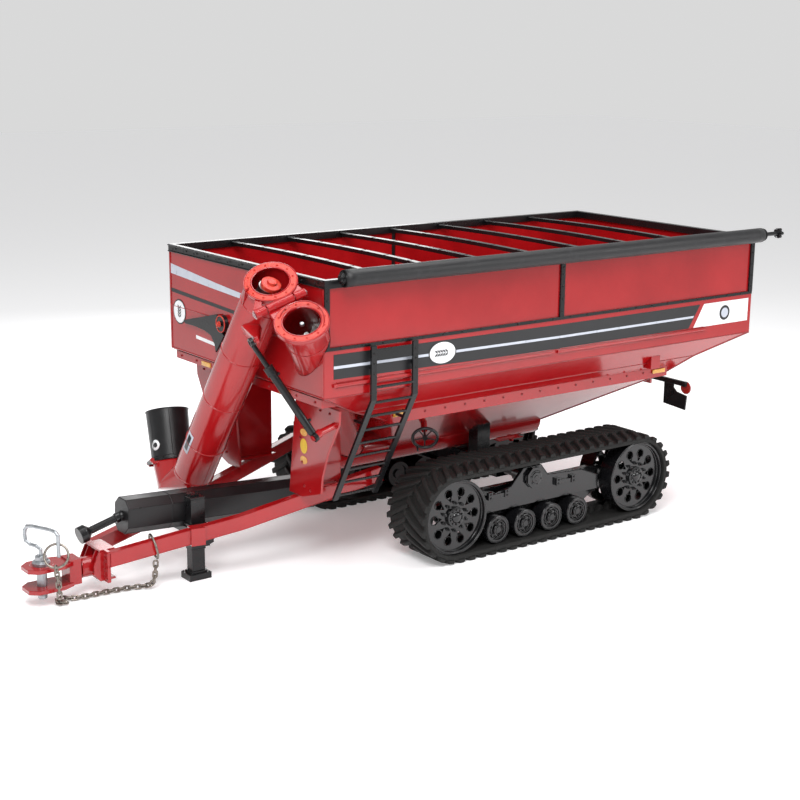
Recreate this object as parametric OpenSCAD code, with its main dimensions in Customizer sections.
// Grain cart: a tracked, towed hopper with a folding unloading auger.
// +X points to the hitch, +Y to the cart's left, +Z up, and the ground is z = 0.
// Lengths along X inside the modules are counted from the middle of the tank.

/* [Tank] */
// Length of the tank box
tank_l = 7360; // [7200:10:7400]
// Width of the tank box
tank_w = 3660; // [3600:10:3700]
// Height of the rim above the ground
rim_z = 3850; // [3800:10:3900]
// Height of the line between the band and the upper boards
board_z = 3040; // [3000:10:3060]
// Height where the walls start to slope in
band_z = 2460; // [2420:10:2500]
// Height of the knee in the slope sheets
knee_z = 2180; // [2150:10:2200]
// Height of the side sills
sill_z = 1930; // [1900:10:1950]
// Height of the mouth of the floor trough
sump_z = 1200; // [1190:10:1210]
// Thickness of the tank sheets
sheet = 8; // [6:1:12]

/* [Tracks] */
// Distance between the front and rear wheel centres
wheelbase = 3220; // [3180:10:3260]
// Height of the wheel centres
wheel_z = 606; // [600:1:610]
// Radius of a front or rear wheel
wheel_r = 494; // [485:1:496]
// Radius of a small roller
roller_r = 188; // [180:1:188]
// Width of a belt
belt_w = 760; // [740:10:780]
// Distance from the middle of the cart to a belt's outer edge
belt_y = 1770; // [1760:10:1780]
// Number of bars around a belt
belt_bars = 54; // [48:2:60]

/* [Auger] */
// Outside diameter of the auger tubes
tube_d = 520; // [500:5:525]
// Diameter of the two joining flanges
flange_d = 630; // [620:5:635]
// Diameter of the mouth in each flange
mouth_d = 430; // [400:5:440]
// Length of the folded upper tube
upper_l = 3370; // [3300:10:3380]
// Diameter of the screws
screw_d = 400; // [380:10:400]

/* [Drawbar] */
// Distance from the tank's middle to the cross plate
plate_x = 5730; // [5700:10:5760]
// Depth of a drawbar beam
beam_h = 180; // [160:5:190]
// Height of the drawbar pin's axis mid-point
hitch_z = 345; // [340:5:350]
// Radius of the drawbar pin
pin_r = 60; // [58:1:62]

/* [Hidden] */
$fn = 64;
red = "#a8181c";
black = "#1c1c1e";

clevis_x = 6450;
front_reach = 6660;
rear_reach = 4060;
tank_x = (rear_reach - front_reach) / 2;

module at_tank() translate([tank_x, 0, 0]) children();

// A block given by its lowest and highest corners
module block(low, high) translate(low) cube(high - low);

// Both sides of the cart
module both_sides() {
    children();
    mirror([0, 1, 0]) children();
}

// Stands children up along the line from one point to another
module along(from, to) {
    d = to - from;
    translate(from) rotate([0, acos(d.z / norm(d)), atan2(d.y, d.x)]) children();
}

module rod_between(from, to, r) along(from, to) cylinder(h = norm(to - from), r = r);

// One level of the tank: a thin rectangle, its middle shifted along X by v[3]
module level(v, inset) translate([v[3], 0, v[0]])
    cube([v[1] - 2 * inset, v[2] - 2 * inset, 0.02], center = true);

module between_levels(low, high, inset) hull() {
    level(low, inset);
    level(high, inset);
}

// Ends of the opening into the floor trough
sump_ends = [-1150, 1500];
sump_l = sump_ends[1] - sump_ends[0];

// Height, length, width and shift of the tank at each change of slope
knee = [knee_z, 5900, 3220, 150];
sill = [sill_z, 4800, 2800, 0];
sump = [sump_z, sump_l, 480, sump_ends[0] + sump_l / 2];
band = [band_z, tank_l, tank_w, 0];

module tank_body(inset) {
    block([-tank_l / 2 + inset, -tank_w / 2 + inset, band_z - 0.01],
        [tank_l / 2 - inset, tank_w / 2 - inset, board_z]);
    between_levels(knee, band, inset);
    between_levels(sill, knee, inset);
    between_levels(sump, sill, inset);
}

// ---- The auger's lines -------------------------------------------------
fold_point = [4000, 1525, 3600];
fold_turn = [-31, 20, -12];
flange_gap = 63;
flange_y = flange_d / 2 + flange_gap;
flange_t = 50;
pickup = [2100, 0, 1280];

module at_fold() translate(fold_point) rotate(fold_turn) children();

function rot_x(v, a) = [v.x, v.y * cos(a) - v.z * sin(a), v.y * sin(a) + v.z * cos(a)];
function rot_y(v, a) = [v.x * cos(a) + v.z * sin(a), v.y, -v.x * sin(a) + v.z * cos(a)];
function rot_z(v, a) = [v.x * cos(a) - v.y * sin(a), v.x * sin(a) + v.y * cos(a), v.z];
function from_fold(v) = fold_point + rot_z(rot_y(rot_x(v, fold_turn.x), fold_turn.y), fold_turn.z);

lower_mouth = from_fold([0, flange_y, 0]);
upper_mouth = from_fold([0, -flange_y, 0]);
lower_line = (lower_mouth - pickup) / norm(lower_mouth - pickup);
upper_line = [0, -0.573, -0.82] / norm([0, -0.573, -0.82]);
upper_foot = upper_mouth + upper_l * upper_line;
bore_r = tube_d / 2 - 6;
lower_sleeve_r = tube_d / 2 + 4;

module lower_tube_hole() rod_between(pickup, lower_mouth, lower_sleeve_r);

// Room for the floor trough, and for the stub of the screw's shaft behind it
module trough_hole() translate([sump_ends[0] - 1, 0, sump_z]) rotate([0, 90, 0]) {
    cylinder(h = trough_end - sump_ends[0] + 5, r = 244);
    translate([0, 0, -90]) cylinder(h = 91, r = 38);
}

// ---- Tank --------------------------------------------------------------
module hopper() color(red) at_tank() difference() {
    tank_body(0);
    tank_body(sheet);
    block([sump_ends[0] + sheet, -240 + sheet, sump_z - 10],
        [sump_ends[1] - sheet, 240 - sheet, sump_z + 10]);
    block([-tank_l / 2 + sheet, -tank_w / 2 + sheet, board_z - 20],
        [tank_l / 2 - sheet, tank_w / 2 - sheet, board_z + 5]);
    lower_tube_hole();
    trough_hole();
}

module end_walls() color(red) at_tank() difference() {
    for (x = [-tank_l / 2, tank_l / 2 - sheet])
        block([x, board_gap - tank_w / 2, board_z], [x + sheet, tank_w / 2 - board_gap, rim_z - 100]);
    lower_tube_hole();
}

board_gap = 12;
board_t = 12;
board_ends = [[-tank_l / 2 + sheet, -35], [35, tank_l / 2 - sheet]];

// Two boards a side, set back behind the posts
module side_walls() color(red) at_tank() difference() {
    both_sides() for (e = board_ends)
        block([e[0], tank_w / 2 - board_gap - board_t, board_z], [e[1], tank_w / 2 - board_gap, rim_z - 100]);
    lower_tube_hole();
}

module rim_rail() color(black) at_tank() {
    difference() {
        block([-tank_l / 2 - 25, -tank_w / 2 - 20, rim_z - 100], [tank_l / 2 + 4, tank_w / 2 + 20, rim_z]);
        block([-tank_l / 2 + 60, -tank_w / 2 + 60, rim_z - 101],
            [tank_l / 2 - 60, tank_w / 2 - 60, rim_z + 1]);
    }
    // Catch plate that the tarp tube tucks under
    translate([0, -tank_w / 2 - 15, rim_z - 75]) rotate([20, 0, 0])
        block([-3500, -236, -6], [3500, 0, 0]);
}

post_w = 70;

module wall_posts() color(black) at_tank() difference() {
    both_sides() {
        for (x = [-tank_l / 2, -post_w / 2, tank_l / 2 - post_w])
            block([x, tank_w / 2 - board_gap, board_z + 10], [x + post_w, tank_w / 2 + 14, rim_z - 100]);
        block([-tank_l / 2, tank_w / 2 + 0.3, board_z - 20], [tank_l / 2, tank_w / 2 + 10, board_z + 20]);
    }
    lower_tube_hole();
}

rib_z = 2585;

// Two long pressed ribs low on each side
module side_ribs() color(red) at_tank() both_sides() for (x = [[-2750, 60], [120, 3560]])
    block([x[0], tank_w / 2, rib_z], [x[1], tank_w / 2 + 28, rib_z + 40]);

// Box sills along both sides, each with a gusset up to the wall and a hanger for the light bar,
// and a ledge across the front, all fitted to the slope sheets
module sills() color(red) at_tank() difference() {
    union() {
        both_sides() {
            block([-2350, 1380, sill_z], [2500, 1520, sill_z + 200]);
            block([-2010, 1400, sill_z + 180], [-1840, 1700, 2340]);
            block([-2830, 600, 1620], [-2790, 790, 2200]);
        }
        block([3400, -1740, 2330], [3655, 1740, 2430]);
        hand_wheel_bearing();
    }
    between_levels(sill, knee, 0);
    between_levels(knee, band, 0);
    lower_tube_hole();
}

// ---- Tarp --------------------------------------------------------------
bow_pitch = 890;
bow_rise = 30;
bow_span = tank_w - 120;
bow_r = (bow_span * bow_span / 4 + bow_rise * bow_rise) / (2 * bow_rise);
roll_y = 1960;
roll_z = 3875;
roll_r = 110;

// Seven flat arches across the tank
module tarp_bows() color(black) at_tank() for (i = [-3:3])
    translate([50 + i * bow_pitch, 0, rim_z - 35]) intersection() {
        translate([0, 0, bow_rise - bow_r]) rotate([0, 90, 0]) difference() {
            cylinder(h = 80, r = bow_r, center = true, $fn = 360);
            cylinder(h = 82, r = bow_r - 50, center = true, $fn = 360);
        }
        block([-45, -bow_span / 2, -50], [45, bow_span / 2, bow_rise + 10]);
    }

module tarp_roll() color(black) at_tank() translate([-3640, roll_y, roll_z]) rotate([0, 90, 0]) difference() {
    cylinder(h = 7140, r = roll_r);
    translate([0, 0, -1]) cylinder(h = 7142, r = 30);
}

// Tube through the roll, its end brackets, the crank arm and the lobed hub
module tarp_crank() color(black) at_tank() {
    rod_between([-4035, roll_y, roll_z], [3560, roll_y, roll_z], 29.7);
    translate([rear_reach * -1, roll_y, roll_z]) rotate([0, 90, 0]) {
        cylinder(h = 60, r = 45);
        for (a = [20:72:359]) rotate([0, 0, a]) translate([50, 0, 5]) cylinder(h = 50, r = 24);
    }
    translate([-3700, roll_y, roll_z]) rotate([0, 90, 0]) cylinder(h = 40, r = 80);
    translate([3510, roll_y, roll_z]) rotate([0, 90, 0]) cylinder(h = 30, r = 60);
}

// ---- Running gear ------------------------------------------------------
track_x = -40;
pivot = [150, 870];
belt_in = wheel_r + 4;
belt_out = wheel_z;
bar_h = 46;
track_in = belt_y - belt_w;
roller_xs = [850, 380, -90, -560];
roller_z = wheel_z - belt_in + roller_r + 3;
wheel_xs = [track_x + wheelbase / 2, track_x - wheelbase / 2];
straight = wheelbase;
lap = 2 * straight + 2 * PI * belt_out;

module main_axle() color(black) at_tank() {
    block([20, -960, 740], [280, 960, 950]);
    both_sides() {
        translate([pivot.x, 960, pivot.y]) rotate([-90, 0, 0]) cylinder(h = 610, r = 84.95);
        // Upright from the axle to the slope sheet
        difference() {
            block([40, 330, 950], [260, 520, 1420]);
            between_levels(sump, sill, 0);
        }
    }
}

// Where a bar sits around the belt, and which way it faces
function bar_place(s) =
    s < straight ? [s - straight / 2, belt_out - bar_h / 2, 0] :
    s < straight + PI * belt_out ? let (a = (s - straight) / belt_out * 180 / PI)
        [straight / 2 + (belt_out - bar_h / 2) * sin(a), (belt_out - bar_h / 2) * cos(a), -a] :
    s < 2 * straight + PI * belt_out ?
        [straight / 2 - (s - straight - PI * belt_out), -belt_out + bar_h / 2, 180] :
    let (a = (s - 2 * straight - PI * belt_out) / belt_out * 180 / PI)
        [-straight / 2 - (belt_out - bar_h / 2) * sin(a), -(belt_out - bar_h / 2) * cos(a), 180 - a];

module loop_outline(r) {
    square([straight, 2 * r], center = true);
    for (end = [-1, 1]) translate([end * straight / 2, 0]) circle(r = r, $fn = 128);
}

module belt() color(black) at_tank() translate([track_x, belt_y, wheel_z]) rotate([90, 0, 0])
    linear_extrude(belt_w) difference() {
        union() {
            loop_outline(belt_out - bar_h + 2);
            for (i = [0:belt_bars - 1]) let (p = bar_place(i * lap / belt_bars))
                translate([p[0], p[1]]) rotate([0, 0, p[2]]) square([90, bar_h], center = true);
        }
        loop_outline(belt_in);
    }

spindle_r = 60;
half_w = 240;
wheel_face = belt_y - 60;
frame_y = 1430;
frame_t = 80;
axle_len = wheel_face - 1070;
holes = 10;

// One half of a wheel, its outer face at the origin: rim, disc with teardrop holes and hub
module wheel_half() difference() {
    union() {
        difference() {
            cylinder(h = half_w, r = wheel_r);
            translate([0, 0, -1]) cylinder(h = half_w + 2, r = wheel_r - 35);
        }
        translate([0, 0, 50]) cylinder(h = 24, r = wheel_r - 30);
        translate([0, 0, 10]) cylinder(h = half_w - 20, r = 130);
    }
    for (a = [0:360 / holes:359]) rotate([0, 0, a]) {
        translate([325, 0, 40]) cylinder(h = 50, r = 58);
        translate([0, 0, 40]) linear_extrude(50) polygon([[205, 0], [308, 55], [308, -55]]);
    }
}

// Both halves on one spindle, with the hub bolts on the outer half
module wheel(x) color(black) at_tank() translate([x, wheel_face, wheel_z]) rotate([90, 0, 0]) {
    wheel_half();
    translate([0, 0, axle_len]) mirror([0, 0, 1]) wheel_half();
    translate([0, 0, 20]) cylinder(h = axle_len - 40, r = spindle_r);
    for (a = [0:360 / holes:359]) rotate([0, 0, a + 18]) translate([95, 0, -8])
        cylinder(h = 20, r = 13, $fn = 6);
    translate([0, 0, -12]) cylinder(h = 24, r = 55);
}

roller_face = belt_y - 90;
roller_spindle_r = 40;
roller_len = roller_face - 1110;

module roller(x) color(black) at_tank() translate([x, roller_face, roller_z]) rotate([90, 0, 0]) {
    for (y = [0, roller_len - 200]) translate([0, 0, y]) difference() {
        cylinder(h = 200, r = roller_r);
        for (z = [-1, 171]) translate([0, 0, z]) difference() {
            cylinder(h = 30, r = roller_r - 45);
            cylinder(h = 30, r = 70);
        }
    }
    translate([0, 0, -15]) cylinder(h = roller_len + 10, r = roller_spindle_r);
}

// Pivoting frame: centre plate with spindle bores, outer plate with a hump, hub tube, cap and bearing blocks
module track_frame() color(black) at_tank() {
    difference() {
        union() {
            translate([0, frame_y, 0]) rotate([90, 0, 0]) linear_extrude(frame_t) polygon([[1680, 500],
                [1680, 710], [900, 800], [-1000, 800], [-1760, 710], [-1760, 500], [-1100, 440],
                [-700, 215], [1000, 215], [1100, 440]]);
            translate([0, 1560, 0]) rotate([90, 0, 0]) linear_extrude(40) polygon([[1030, 510], [1030, 700],
                [760, 760], [540, 800], [330, 1020], [20, 1020], [-110, 860], [-720, 830],
                [-1040, 700], [-1040, 510]]);
            for (x = [850, -700]) block([x - 100, frame_y - 5, 560], [x + 100, 1525, 740]);
            translate([pivot.x, 1590, pivot.y]) rotate([90, 0, 0]) cylinder(h = 330, r = 130);
        }
        translate([pivot.x, 1575, pivot.y]) rotate([90, 0, 0]) cylinder(h = 400, r = 85);
        for (x = wheel_xs) translate([x, frame_y + 1, wheel_z]) rotate([90, 0, 0])
            cylinder(h = frame_t + 2, r = spindle_r + 0.05);
        for (x = roller_xs) translate([x, frame_y + 1, roller_z]) rotate([90, 0, 0])
            cylinder(h = frame_t + 2, r = roller_spindle_r + 0.05);
    }
    translate([pivot.x, 1612, pivot.y]) rotate([90, 0, 0]) rotate([0, 0, 22.5])
        cylinder(h = 30, r = 150, $fn = 8);
    for (x = [800, -390]) {
        block([x - 190, 1560, 700], [x + 150, 1590, 750]);
        for (dx = [-160, 120]) block([x + dx - 35, 1560, 690], [x + dx + 35, 1605, 790]);
    }
}

// ---- Legs and drawbar --------------------------------------------------
plate_back = plate_x - 25;
beam_front = [plate_back + 60, 240, 555];
beam_bend = [4110, 612, 820];
beam_rear = [2300, 985, 1225];
beam_w = 110;

module front_leg() color(red) at_tank() difference() {
    union() {
        // Leg plate from the drawbar to the front sill, with a swept outer edge
        translate([3350, 0, 0]) rotate([90, 0, 90]) linear_extrude(30) difference() {
            polygon([[600, 1000], [760, 2250], [1700, 2250], [1690, 2080], [1440, 1650], [1330, 1350],
                [1300, 1130], [900, 1000]]);
            translate([1760, 1500]) circle(r = 330);
        }
        // Fore-and-aft web behind the plate, and the foot on the drawbar
        block([2760, 800, 1100], [3352, 830, 2400]);
        block([2760, 700, 1076], [3352, 900, 1100]);
    }
    between_levels(sump, sill, 0);
    between_levels(sill, knee, 0);
    between_levels(knee, band, 0);
    beam_part(beam_bend, beam_rear);
}

module front_leg_left() {
    difference() {
        front_leg();
        at_tank() lower_tube_hole();
    }
    color(red) at_tank() barrel_lug();
}

module front_leg_right() mirror([0, 1, 0]) front_leg();

module beam_part(from, to) along(from, to)
    block([0, -beam_w / 2, -25], [beam_h, beam_w / 2, norm(to - from) + 25]);

module beam_sleeve() translate([4655, 502, 0]) rotate([0, 0, -11.5]) block([-90, -78, 525], [90, 78, 745]);

// A beam in two straight lengths, welded where it changes slope, with a sleeve at the jack
module drawbar() color(red) at_tank() difference() {
    union() {
        beam_part(beam_front, beam_bend);
        beam_part(beam_bend, beam_rear);
        beam_sleeve();
    }
    block([plate_back, 0, 0], [plate_back + 400, 700, 800]);
}

module drawbar_left() drawbar();

module drawbar_right() mirror([0, 1, 0]) drawbar();

swivel_r = 70;
ear_gap = [225, 435];
ear_t = 45;

// Cross plate, its flanges and gussets, and the tube that the clevis turns in
module drawbar_head() color(red) at_tank() difference() {
    union() {
        block([plate_back, -295, 190], [plate_x + 15, 295, 580]);
        for (z = [190, 555]) block([plate_back - 110, -190, z], [plate_x + 60, 190, z + 25]);
        translate([plate_x, 0, hitch_z]) rotate([0, 90, 0]) cylinder(h = 250, r = 125);
        for (y = [-200, -110, 90, 180]) translate([plate_x + 15, y + 20, 0]) rotate([90, 0, 0])
            linear_extrude(20) polygon([[0, 200], [60, 200], [130, 290], [130, 400], [60, 555], [0, 555]]);
    }
    translate([plate_x - 200, 0, hitch_z]) rotate([0, 90, 0]) cylinder(h = 600, r = swivel_r + 0.05);
}

// Shank, block and two eight-sided ears, bored for the pin
module clevis() color(red) at_tank() difference() {
    union() {
        translate([plate_x - 60, 0, hitch_z]) rotate([0, 90, 0]) cylinder(h = 400, r = swivel_r);
        translate([plate_x - 70, 0, hitch_z]) rotate([0, 90, 0]) cylinder(h = 40, r = 100, $fn = 6);
        block([6000, -120, 190], [6150, 120, 500]);
        for (z = [ear_gap[0] - ear_t, ear_gap[1]]) translate([0, 0, z]) linear_extrude(ear_t)
            polygon([[6100, -120], [6240, -190], [6560, -190], [front_reach, -100], [front_reach, 100],
                [6560, 190], [6240, 190], [6100, 120]]);
    }
    translate([clevis_x, 0, 100]) cylinder(h = 500, r = pin_r + 0.05);
}

handle_r = 22;
handle_path = [[6450, 0, 580], [6450, 0, 672], [6475, -55, 700], [6515, -142, 708], [6546, -200, 745],
    [6550, -212, 815], [6546, -203, 875], [6530, -173, 925], [6500, -110, 938], [6385, 140, 938],
    [6352, 215, 925], [6336, 248, 885], [6336, 249, 800], [6336, 249, 640]];
nose_r = pin_r - 4;
nose_z = [75, 172];

// Round pin, narrower where it stands out below the ears, with its collar, boss and bent handle
module drawbar_pin() color("#9aa0a6") at_tank() {
    translate([clevis_x, 0, nose_z[1]]) cylinder(h = 363, r = pin_r);
    translate([clevis_x, 0, nose_z[0]]) cylinder(h = nose_z[1] - nose_z[0] + 1, r = nose_r);
    translate([clevis_x, 0, nose_z[0] - 10]) cylinder(h = 11, r1 = nose_r - 14, r2 = nose_r);
    translate([clevis_x, 0, ear_gap[1] + ear_t + 0.5]) cylinder(h = 50, r = 102);
    translate([clevis_x, 0, ear_gap[1] + ear_t + 50]) cylinder(h = 60, r = 78, $fn = 6);
    for (i = [0:len(handle_path) - 2]) rod_between(handle_path[i], handle_path[i + 1], handle_r);
    for (i = [1:len(handle_path) - 1]) translate(handle_path[i]) sphere(r = handle_r + 2);
}

// ---- Chain ---------------------------------------------------------------
wire_r = 12;
link_l = 90;
link_w = 50;
link_pitch = 66;

module ring(r, wire) rotate_extrude() translate([r, 0]) circle(r = wire, $fn = 24);

// One link along X, centred at the origin, lying flat
module link() {
    for (side = [-1, 1]) translate([-(link_l - link_w) / 2, side * link_w / 2, 0]) rotate([0, 90, 0])
        cylinder(h = link_l - link_w, r = wire_r, $fn = 24);
    for (end = [0, 1]) mirror([end, 0, 0]) translate([(link_l - link_w) / 2, 0, 0])
        rotate([0, 0, -90]) rotate_extrude(angle = 180) translate([link_w / 2, 0])
            circle(r = wire_r, $fn = 24);
}

function part_lengths(p) = [for (i = [0:len(p) - 2]) norm(p[i + 1] - p[i])];
function total(v, n) = n <= 0 ? 0 : v[n - 1] + total(v, n - 1);
function at_length(p, lens, s, i = 0) = (s <= lens[i] || i == len(lens) - 1)
    ? p[i] + (p[i + 1] - p[i]) * s / lens[i] : at_length(p, lens, s - lens[i], i + 1);

// Links end to end along a route, every other one turned a quarter
module links(route) {
    lens = part_lengths(route);
    count = floor(total(lens, len(lens)) / link_pitch);
    for (i = [0:count - 1]) {
        a = at_length(route, lens, i * link_pitch);
        b = at_length(route, lens, (i + 1) * link_pitch);
        along((a + b) / 2, (a + b) / 2 + (b - a)) rotate([0, -90, 0])
            rotate([i % 2 == 0 ? 45 : 135, 0, 0]) link();
    }
}

ring_at = [6367, 250, 645];
ring_faces = [0.5, 0.72, 0.48];
ring_r = 140;
drop_route = [[6405, 305, 535], [6385, 305, 400], [6372, 300, 270], [6368, 298, 130]];
ground_route = [[6250, 240, 38], [6330, 180, 38], [6330, 100, 38], [6250, 60, 38], [6180, 110, 38],
    [6100, 150, 38], [5950, 165, 38], [5700, 175, 38], [5450, 200, 38], [5280, 250, 38],
    [5190, 330, 62], [5168, 372, 160], [5160, 385, 300], [5158, 392, 428]];
beam_ring_at = [5165, 358, 553];

// Ring through the pin's handle, with the links that hang from it
module pin_ring() color("#77736c") at_tank() {
    along(ring_at, ring_at + ring_faces) ring(ring_r, wire_r + 2);
    links(drop_route);
}

module safety_chain() color("#5a4c44") at_tank() {
    translate(beam_ring_at) rotate([0, 78, 168]) ring(150, wire_r + 2);
    links(ground_route);
}

// ---- Jack ---------------------------------------------------------------
jack_at = [4540, 265];

// Cross tube between the beams, the jack's tall post with its collars and tab, and a hooked catch
module jack_frame() color(black) at_tank() difference() {
    union() {
        block([jack_at.x - 60, -500, 540], [jack_at.x + 60, 500, 625]);
        block([jack_at.x - 96, jack_at.y - 76, 380], [jack_at.x + 96, jack_at.y + 76, 1050]);
        block([jack_at.x - 60, 130, 1054], [jack_at.x + 60, jack_at.y, 1070]);
        block([jack_at.x - 60, 190, 1040], [jack_at.x + 60, jack_at.y, 1070]);
        for (z = [650, 695])
            block([jack_at.x - 112, jack_at.y - 84, z], [jack_at.x + 112, jack_at.y + 92, z + 20]);
        translate([jack_at.x - 95, jack_at.y + 22, 0]) rotate([90, 0, 0]) linear_extrude(44)
            polygon([[0, 500], [-120, 500], [-175, 540], [-215, 540], [-215, 490], [-150, 455],
                [-150, 420], [-95, 400], [-95, 384], [0, 384]]);
    }
    block([jack_at.x - 88.5, jack_at.y - 68.5, 370], [jack_at.x + 88.5, jack_at.y + 68.5, 780]);
    both_sides() {
        beam_sleeve();
        beam_part(beam_front, beam_bend);
    }
}

module jack_leg() color(black) at_tank() {
    difference() {
        block([jack_at.x - 88, jack_at.y - 68, 40], [jack_at.x + 88, jack_at.y + 68, 480]);
        block([jack_at.x - 80, jack_at.y - 60, 39], [jack_at.x + 80, jack_at.y + 60, 481]);
    }
    block([jack_at.x - 150, jack_at.y - 115, 0], [jack_at.x + 150, jack_at.y + 115, 80]);
    block([jack_at.x - 110, jack_at.y - 85, 80], [jack_at.x + 110, jack_at.y + 85, 105]);
}

// ---- Driveline -------------------------------------------------------------
shaft_low = [5400, 0, 892];
shaft_high = [2660, 0, 744];
shield_w = 360;
shield_h = 420;
chamfer = 90;

module shield_outline(grow) let (w = shield_w / 2 + grow, h = shield_h / 2 + grow, c = chamfer)
    polygon([[-h, -w + c], [-h + c, -w], [h - c, -w], [h, -w + c],
        [h, w - c], [h - c, w], [-h + c, w], [-h, w - c]]);

module pto_shield() color(black) at_tank() along(shaft_high, shaft_low) difference() {
    linear_extrude(norm(shaft_low - shaft_high)) shield_outline(0);
    translate([0, 0, -1]) linear_extrude(norm(shaft_low - shaft_high) - 30) shield_outline(-8);
    cylinder(h = 4000, r = 62);
}

pto_tip = [5960, 0, 740];

// Long shaft inside the shield and the splined stub with its yoke in front
module pto_shaft() color(black) at_tank() {
    rod_between(shaft_high - [120, 0, 6], shaft_low, 40);
    translate(shaft_low) sphere(r = 60);
    rod_between(shaft_low, pto_tip, 42);
    along(shaft_low, pto_tip) translate([0, 0, norm(pto_tip - shaft_low) - 90]) {
        cylinder(h = 90, r = 105);
        translate([0, 0, -60]) cylinder(h = 60, r1 = 45, r2 = 105);
    }
}

// Gear case under the slope sheet that turns the drive into both screws
module gear_case() color(red) at_tank() difference() {
    union() {
        block([2360, -170, 600], [2620, 170, 1060]);
        translate([2490, 0, 1060]) cylinder(h = 40, r = 120);
    }
    translate([2450, 0, shaft_high.z - 8]) rotate([0, 90, 0]) cylinder(h = 400, r = 60);
}

// ---- Augers ---------------------------------------------------------------
trough_end = 2350;

// Round floor trough, open to the sump, closed ahead of it, with a pocket for the lower tube
module floor_trough() color(red) at_tank() difference() {
    union() {
        translate([sump_ends[0], 0, sump_z]) rotate([0, 90, 0])
            cylinder(h = trough_end - sump_ends[0], r = 240);
        door_hinge();
    }
    translate([sump_ends[0] + sheet, 0, sump_z]) rotate([0, 90, 0])
        cylinder(h = trough_end - sump_ends[0] - 2 * sheet, r = 232);
    block([sump_ends[0] - 1, -241, sump_z], [sump_ends[1], 241, sump_z + 300]);
    lower_tube_hole();
    block([-900, -90, sump_z - 300], [-500, 90, sump_z - 200]);
    translate([sump_ends[0] - 20, 0, sump_z]) rotate([0, 90, 0]) cylinder(h = 60, r = 35.05);
}

// A screw along Z: core tube and one continuous flight
module screw(l, r, core, pitch) {
    cylinder(h = l, r = core);
    turns = l / pitch;
    linear_extrude(l - 40, twist = -360 * turns, slices = ceil(turns * 16), $fn = 6)
        polygon([[0, -9], [r, -9], [r, 9], [0, 9]]);
}

module floor_screw() color("#8c8f92") at_tank() translate([sump_ends[0] - 10, 0, sump_z]) rotate([0, 90, 0]) {
    cylinder(h = 40, r = 35);
    translate([0, 0, 40]) screw(2950, screw_d / 2, 45, 420);
}

module tube_shape(from, line, len, r) along(from, from + line) cylinder(h = len, r = r);

knuckle_r = 55;
hinge_pin_r = 24;
lower_knuckles = [[-95, 245]];
upper_knuckles = [[260, 400], [-250, -110]];

module knuckles(spans, side) at_fold() for (s = spans) {
    translate([s[0], 0, 0]) rotate([0, 90, 0]) cylinder(h = s[1] - s[0], r = knuckle_r);
    // Web from the knuckle into the flange
    translate([0, 0, -60]) linear_extrude(48) polygon([[s[0], 0], [s[1], 0], [s[1], side * 60],
        [min(s[1], 255), side * 270], [max(min(s[0], 160), -220), side * 270], [s[0], side * 110]]);
}

module flange(side) at_fold() translate([0, side * flange_y, -flange_t])
    cylinder(h = flange_t, r = flange_d / 2);

module hinge_bore() at_fold() translate([-300, 0, 0]) rotate([0, 90, 0])
    cylinder(h = 800, r = hinge_pin_r + 0.05);

module mouth(side) at_fold() translate([0, side * flange_y, -flange_t - 60])
    cylinder(h = 200, r = mouth_d / 2);

module lower_tube() color(red) at_tank() difference() {
    union() {
        tube_shape(pickup, lower_line, 3600, tube_d / 2);
        flange(1);
        knuckles(lower_knuckles, 1);
    }
    tube_shape(pickup - lower_line, lower_line, 3350, bore_r);
    above_lower_flange();
    mouth(1);
    hinge_bore();
    trough_hole();
}

// Cuts the tube above its flange but leaves the hinge knuckle standing
module above_lower_flange() at_fold() difference() {
    block([-600, -1200, 0], [600, 1200, 1200]);
    translate([-95, 0, 0]) rotate([0, 90, 0]) cylinder(h = 340, r = knuckle_r);
}

module above_upper_flange() at_fold() difference() {
    block([-600, -1200, 0], [600, 1200, 1200]);
    for (s = upper_knuckles) translate([s[0], 0, 0]) rotate([0, 90, 0])
        cylinder(h = s[1] - s[0], r = knuckle_r);
}

cylinder_top = [500, 0, -400];

// Upper tube with its flange, hinge knuckles and the lug that the cylinder pushes on
module upper_tube() color(red) at_tank() difference() {
    union() {
        tube_shape(upper_mouth - 300 * upper_line, upper_line, upper_l + 300, tube_d / 2);
        flange(-1);
        knuckles(upper_knuckles, -1);
        at_fold() hull() {
            translate(cylinder_top - [85, 0, 0]) rotate([0, 90, 0]) cylinder(h = 40, r = 55, $fn = 32);
            translate([250, -280, -470]) rotate([0, 90, 0]) cylinder(h = 215, r = 60, $fn = 32);
        }
        at_fold() translate(cylinder_top - [80, 0, 0]) rotate([0, 90, 0])
            cylinder(h = 80 - eye_w / 2 - eye_gap, r = 24);
    }
    tube_shape(upper_mouth - 400 * upper_line, upper_line, upper_l + 500, bore_r);
    above_upper_flange();
    mouth(-1);
    hinge_bore();
}

module lower_screw() color("#8c8f92") at_tank() along(pickup + 260 * lower_line, pickup + 300 * lower_line) {
    screw(2720, screw_d / 2, 45, 420);
    translate([0, 0, 2720]) cylinder(h = 120, r = 30);
}

module upper_screw() color("#8c8f92") at_tank() along(upper_foot - 60 * upper_line, upper_mouth) {
    screw(3080, screw_d / 2, 45, 420);
    translate([0, 0, 3080]) cylinder(h = 150, r = 115);
}

module hinge_pin() color(red) at_tank() at_fold() translate([-262, 0, 0]) rotate([0, 90, 0]) {
    cylinder(h = 674, r = hinge_pin_r);
    for (x = [0, 664]) translate([0, 0, x]) cylinder(h = 10, r = 36);
}

// ---- Elbow and spout ---------------------------------------------------------
spout_foot = [3940, -1420, 1005];
spout_l = 690;
spout_line = [-0.119, -0.381, 0.917];
spout_top = spout_foot + spout_l * spout_line;
spout_r = 264;
boot_low = [4085, -1030, 765];
boot_wall = 10;

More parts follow.
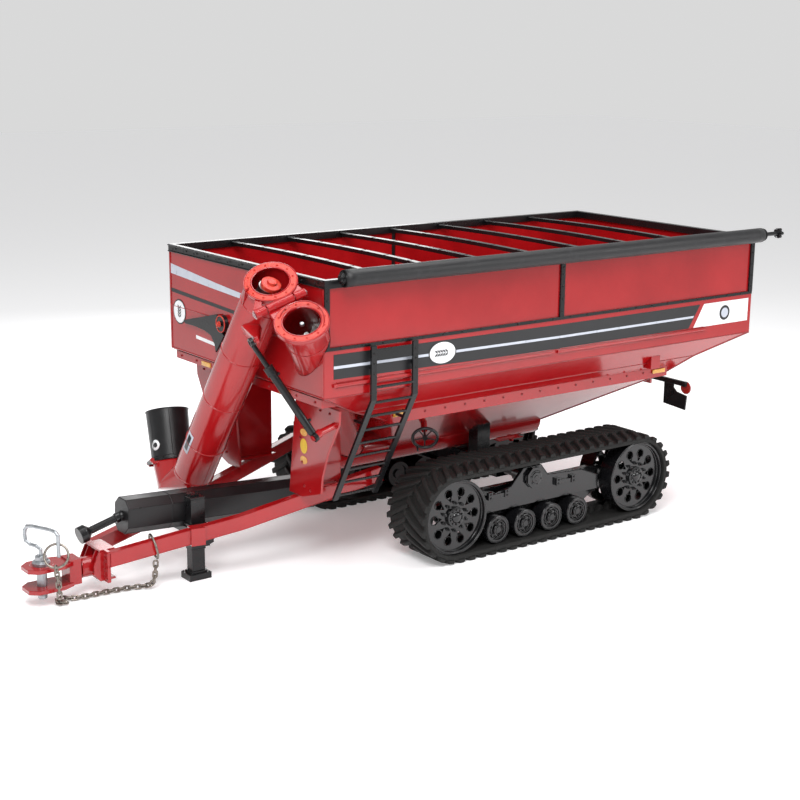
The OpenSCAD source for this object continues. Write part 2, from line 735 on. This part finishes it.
// Boot under the tube's foot that turns the grain back up into the spout, or the room inside it
module boot_shape(wall) {
    hull() {
        along(upper_foot, upper_foot + upper_line) translate([0, 0, 0.5 - wall / 10])
            cylinder(h = 20 - wall / 2, r = tube_d / 2 - wall, $fn = 32);
        along(boot_low, boot_low + spout_line) translate([0, 0, wall])
            cylinder(h = 60 - wall, r = tube_d / 2 - 12 - wall, $fn = 32);
    }
    hull() {
        along(boot_low, boot_low + spout_line) translate([0, 0, wall])
            cylinder(h = 60 - wall, r = tube_d / 2 - 12 - wall, $fn = 32);
        along(spout_foot, spout_top) translate([0, 0, -30 + wall / 10])
            cylinder(h = 30, r = spout_r - 7 - wall, $fn = 32);
    }
}

// Room left around the right drawbar beam under the boot
module beam_room(gap) mirror([0, 1, 0]) along(beam_bend, beam_rear)
    block([-gap, -beam_w / 2 - gap, -25], [beam_h + gap, beam_w / 2 + gap, norm(beam_rear - beam_bend) + 25]);

// Length of the upper tube's outside above its foot
module tube_outside(r) along(upper_foot, upper_foot + upper_line) translate([0, 0, -900])
    cylinder(h = 900.3, r = r);

spout_pin_r = 16;

module at_spout_hinge() along(spout_foot, spout_top) mirror([0, 1, 0])
    translate([-160, -spout_r - 24, 14]) rotate([0, 90, 0]) children();

module discharge_elbow() color(red) at_tank() {
    difference() {
        boot_shape(0);
        difference() {
            boot_shape(boot_wall);
            tube_outside(tube_d / 2 + 1 + boot_wall);
            beam_room(3 + boot_wall);
        }
        tube_outside(tube_d / 2 + 1);
        beam_room(3);
        along(upper_foot, upper_foot + upper_line) translate([0, 0, -1]) cylinder(h = 20, r = bore_r - 5);
    }
    at_spout_hinge() cylinder(h = 320, r = spout_pin_r);
    at_spout_hinge() for (z = [0, 290]) translate([0, 0, z]) {
        cylinder(h = 30, r = 30);
        block([14, 0, 0], [50, 110, 30]);
    }
}

module spout() color(black) at_tank() difference() {
    union() {
        along(spout_foot, spout_top) translate([0, 0, 4])
            cylinder(h = spout_l - 4, r1 = spout_r, r2 = spout_r + 20);
        at_spout_hinge() translate([0, 0, 40]) cylinder(h = 240, r = 30);
    }
    along(spout_foot, spout_top) translate([0, 0, 3])
        cylinder(h = spout_l - 2, r1 = spout_r - 8, r2 = spout_r + 12);
    at_spout_hinge() translate([0, 0, -1]) cylinder(h = 322, r = spout_pin_r + 0.05);
}

// ---- Fold cylinder -----------------------------------------------------------
barrel_foot = [3700, 1660, 1980];
rod_eye = from_fold(cylinder_top);
rod_eye_open = from_fold([cylinder_top.x, 0, -cylinder_top.z]);
cylinder_side = cross(rod_eye_open - barrel_foot, rod_eye - barrel_foot);
cylinder_axis = cylinder_side / norm(cylinder_side);
eye_w = 44;
// The lug's pin stops this far short of the rod's eye, which is the open pivot of the fold
eye_gap = 6;
barrel_l = 1000;

module at_barrel_pin() along(barrel_foot, barrel_foot + cylinder_axis) children();

module at_barrel() along(barrel_foot, rod_eye) children();

module fold_barrel() color(black) at_tank() difference() {
    union() {
        at_barrel() translate([0, 0, 56]) cylinder(h = barrel_l - 56, r = 48);
        at_barrel() translate([0, 0, barrel_l - 110]) cylinder(h = 110, r = 60);
        at_barrel_pin() translate([0, 0, -eye_w / 2]) cylinder(h = eye_w, r = 60);
    }
    at_barrel() translate([0, 0, 110]) cylinder(h = barrel_l, r = 30.05);
    at_barrel_pin() translate([0, 0, -80]) cylinder(h = 160, r = 25.05);
}

module fold_rod() color("#c9ccd0") at_tank() difference() {
    union() {
        at_barrel() translate([0, 0, 150]) cylinder(h = norm(rod_eye - barrel_foot) - 190, r = 30);
        at_fold() translate(cylinder_top - [eye_w / 2, 0, 0]) rotate([0, 90, 0]) cylinder(h = eye_w, r = 56);
    }
    at_fold() translate(cylinder_top - [80, 0, 0]) rotate([0, 90, 0]) cylinder(h = 160, r = 32);
}

// Lug on the left leg that carries the cylinder's lower pin
module barrel_lug() {
    at_barrel_pin() translate([0, 0, -90]) cylinder(h = 66, r = 50);
    at_barrel_pin() translate([0, 0, -30]) cylinder(h = 68, r = 25);
    at_barrel_pin() translate([0, 0, 26]) cylinder(h = 12, r = 38);
    rod_between(barrel_foot - 75 * cylinder_axis, [3370, 1600, 2060], 40);
}

cradle_boss = [-420, 3000];

// Swept saddle on the front sheet that the folded tube rests beside, with its bumper
module auger_cradle() color(black) at_tank() {
    translate([tank_l / 2 + 26, 0, 0]) rotate([90, 0, 90]) linear_extrude(24) difference() {
        polygon([[-1384, 2885], [-1340, 2915], [-947, 3007], [-552, 3103], [-500, 3090], [-420, 2900],
            [-357, 2856], [-477, 2718], [-571, 2609], [-593, 2712], [-692, 2814], [-848, 2849],
            [-1087, 2864], [-1358, 2862]]);
        translate(cradle_boss) circle(r = 114);
    }
    for (p = [[-560, 2700], [-1000, 2935], [-650, 2960]]) translate([tank_l / 2, p[0], p[1]])
        rotate([0, 90, 0]) cylinder(h = 30, r = 20);
    translate([tank_l / 2, cradle_boss.x, cradle_boss.y]) rotate([0, 90, 0]) cylinder(h = 60, r = 110);
    translate([tank_l / 2 + 60, cradle_boss.x, cradle_boss.y]) rotate([0, 90, 0])
        cylinder(h = 18, r = 36, $fn = 6);
}

// ---- Ladder, gate, door and lights -------------------------------------------------
rung_r = 17;
rail_x = [2420, 3030];
rail_bend = [1900, 2380];
rail_foot = [1100, 950];
rungs = 9;

module ladder() color(black) at_tank() {
    for (x = rail_x) {
        translate([x - 38, 0, 0]) rotate([90, 0, 90]) linear_extrude(76) polygon([[1884, 3030],
            [1884, 2388], [rail_foot[0] - 18, rail_foot[1] + 6], [rail_foot[0] + 12, rail_foot[1] - 12],
            [1916, 2376], [1916, 3030]]);
        rod_between([x, 1895, 2760], [x, tank_w / 2 + 0.5, 2760], 20);
        rod_between([x, 1700, 2050], [x, 1520.5, 2050], 20);
    }
    // Kick plate between the rails at the top
    block([rail_x[0] + 30, 1890, 2850], [rail_x[1] - 30, 1902, 2990]);
    // Rungs at even steps down both parts of the rails
    for (i = [0:rungs - 1]) let (z = 2530 - i * 190, y = z > rail_bend[1] ? rail_bend[0]
        : rail_bend[0] + (z - rail_bend[1]) * (rail_bend[0] - rail_foot[0]) / (rail_bend[1] - rail_foot[1]))
        rod_between([rail_x[0] + 4, y, z], [rail_x[1] - 4, y, z], rung_r);
}

hand_at = [1800, 1320, 1610];
hand_line = [-0.502, -0.753, 0.425];

module hand_wheel() color(black) at_tank() {
    along(hand_at, hand_at + hand_line) {
        translate([0, 0, -9]) ring(158, 20);
        for (a = [0:72:359]) rotate([0, 90, a]) cylinder(h = 158, r = 9);
        translate([0, 0, -22]) cylinder(h = 40, r = 34);
        cylinder(h = 225, r = 15);
        rotate([0, 0, 36]) translate([158, 0, -105]) cylinder(h = 100, r = 13);
    }
}

// Bearing block for the hand wheel's shaft, cut to sit on the slope sheet
module hand_wheel_bearing() difference() {
    along(hand_at, hand_at + hand_line) translate([0, 0, 150]) cylinder(h = 220, r = 42);
    between_levels(sump, sill, 0);
    along(hand_at, hand_at + hand_line) translate([0, 0, 100]) cylinder(h = 126, r = 15.05);
}

gate_z = 1420;

// Sliding plate over the floor screw that sets how fast grain reaches it
module flow_gate() color("#8c8f92") at_tank() {
    block([690, -560, gate_z], [1490, 560, gate_z + 8]);
    for (x = [690, 1470]) block([x, -540, gate_z + 8], [x + 20, 540, gate_z + 60]);
}

door_pin = [-150, 975];

module cleanout_door() color(red) at_tank() difference() {
    union() {
        block([-930, -166, 938], [-470, 120, 950]);
        block([-930, -166, 938], [-470, -140, 966]);
        translate([-930, door_pin[0], door_pin[1]]) rotate([0, 90, 0]) cylinder(h = 460, r = 18);
        block([-720, 100, 915], [-680, 150, 950]);
    }
    translate([-931, door_pin[0], door_pin[1]]) rotate([0, 90, 0]) cylinder(h = 462, r = 8.05);
}

module door_hinge() {
    translate([-960, door_pin[0], door_pin[1]]) rotate([0, 90, 0]) cylinder(h = 520, r = 8);
    for (x = [-955, -460]) block([x, -166, 960], [x + 15, -134, 1030]);
}

lamp_at = [-2800, 1450, 1670];

// Arms out from the hangers to the lamps, each with a notched plate below
module light_bar() color(black) at_tank() both_sides() {
    block([-2830, 790.5, 1695], [-2790, 1480, 1765]);
    translate([-2806, 0, 0]) rotate([90, 0, -90]) linear_extrude(20) polygon([[1060, 1700], [1060, 1380],
        [1480, 1350], [1500, 1560], [1300, 1590], [1240, 1640], [1240, 1700]]);
}

module rear_lamps() color("#b02020") at_tank() both_sides() translate(lamp_at - [44, 0, 0])
    rotate([0, 90, 0]) {
        cylinder(h = 12, r = 90);
        translate([0, 0, -30]) cylinder(h = 31, r1 = 62, r2 = 88);
    }

// ---- Left and right running gear -----------------------------------------------
module belt_left() belt();
module track_frame_left() track_frame();
module front_wheel_left() wheel(wheel_xs[0]);
module rear_wheel_left() wheel(wheel_xs[1]);
module roller_left_1() roller(roller_xs[0]);
module roller_left_2() roller(roller_xs[1]);
module roller_left_3() roller(roller_xs[2]);
module roller_left_4() roller(roller_xs[3]);

module belt_right() mirror([0, 1, 0]) belt();
module track_frame_right() mirror([0, 1, 0]) track_frame();
module front_wheel_right() mirror([0, 1, 0]) wheel(wheel_xs[0]);
module rear_wheel_right() mirror([0, 1, 0]) wheel(wheel_xs[1]);
module roller_right_1() mirror([0, 1, 0]) roller(roller_xs[0]);
module roller_right_2() mirror([0, 1, 0]) roller(roller_xs[1]);
module roller_right_3() mirror([0, 1, 0]) roller(roller_xs[2]);
module roller_right_4() mirror([0, 1, 0]) roller(roller_xs[3]);

// ---- Drawing ---------------------------------------------------------------------
hopper();
end_walls();
side_walls();
rim_rail();
wall_posts();
side_ribs();
sills();
tarp_bows();
tarp_roll();
tarp_crank();
main_axle();
front_leg_left();
front_leg_right();
drawbar_left();
drawbar_right();
drawbar_head();
jack_frame();
jack_leg();
clevis();
drawbar_pin();
pin_ring();
safety_chain();
pto_shield();
pto_shaft();
gear_case();
floor_trough();
floor_screw();
lower_tube();
lower_screw();
upper_tube();
upper_screw();
hinge_pin();
discharge_elbow();
spout();
fold_barrel();
fold_rod();
auger_cradle();
ladder();
hand_wheel();
flow_gate();
cleanout_door();
light_bar();
rear_lamps();
belt_left();
track_frame_left();
front_wheel_left();
rear_wheel_left();
roller_left_1();
roller_left_2();
roller_left_3();
roller_left_4();
belt_right();
track_frame_right();
front_wheel_right();
rear_wheel_right();
roller_right_1();
roller_right_2();
roller_right_3();
roller_right_4();
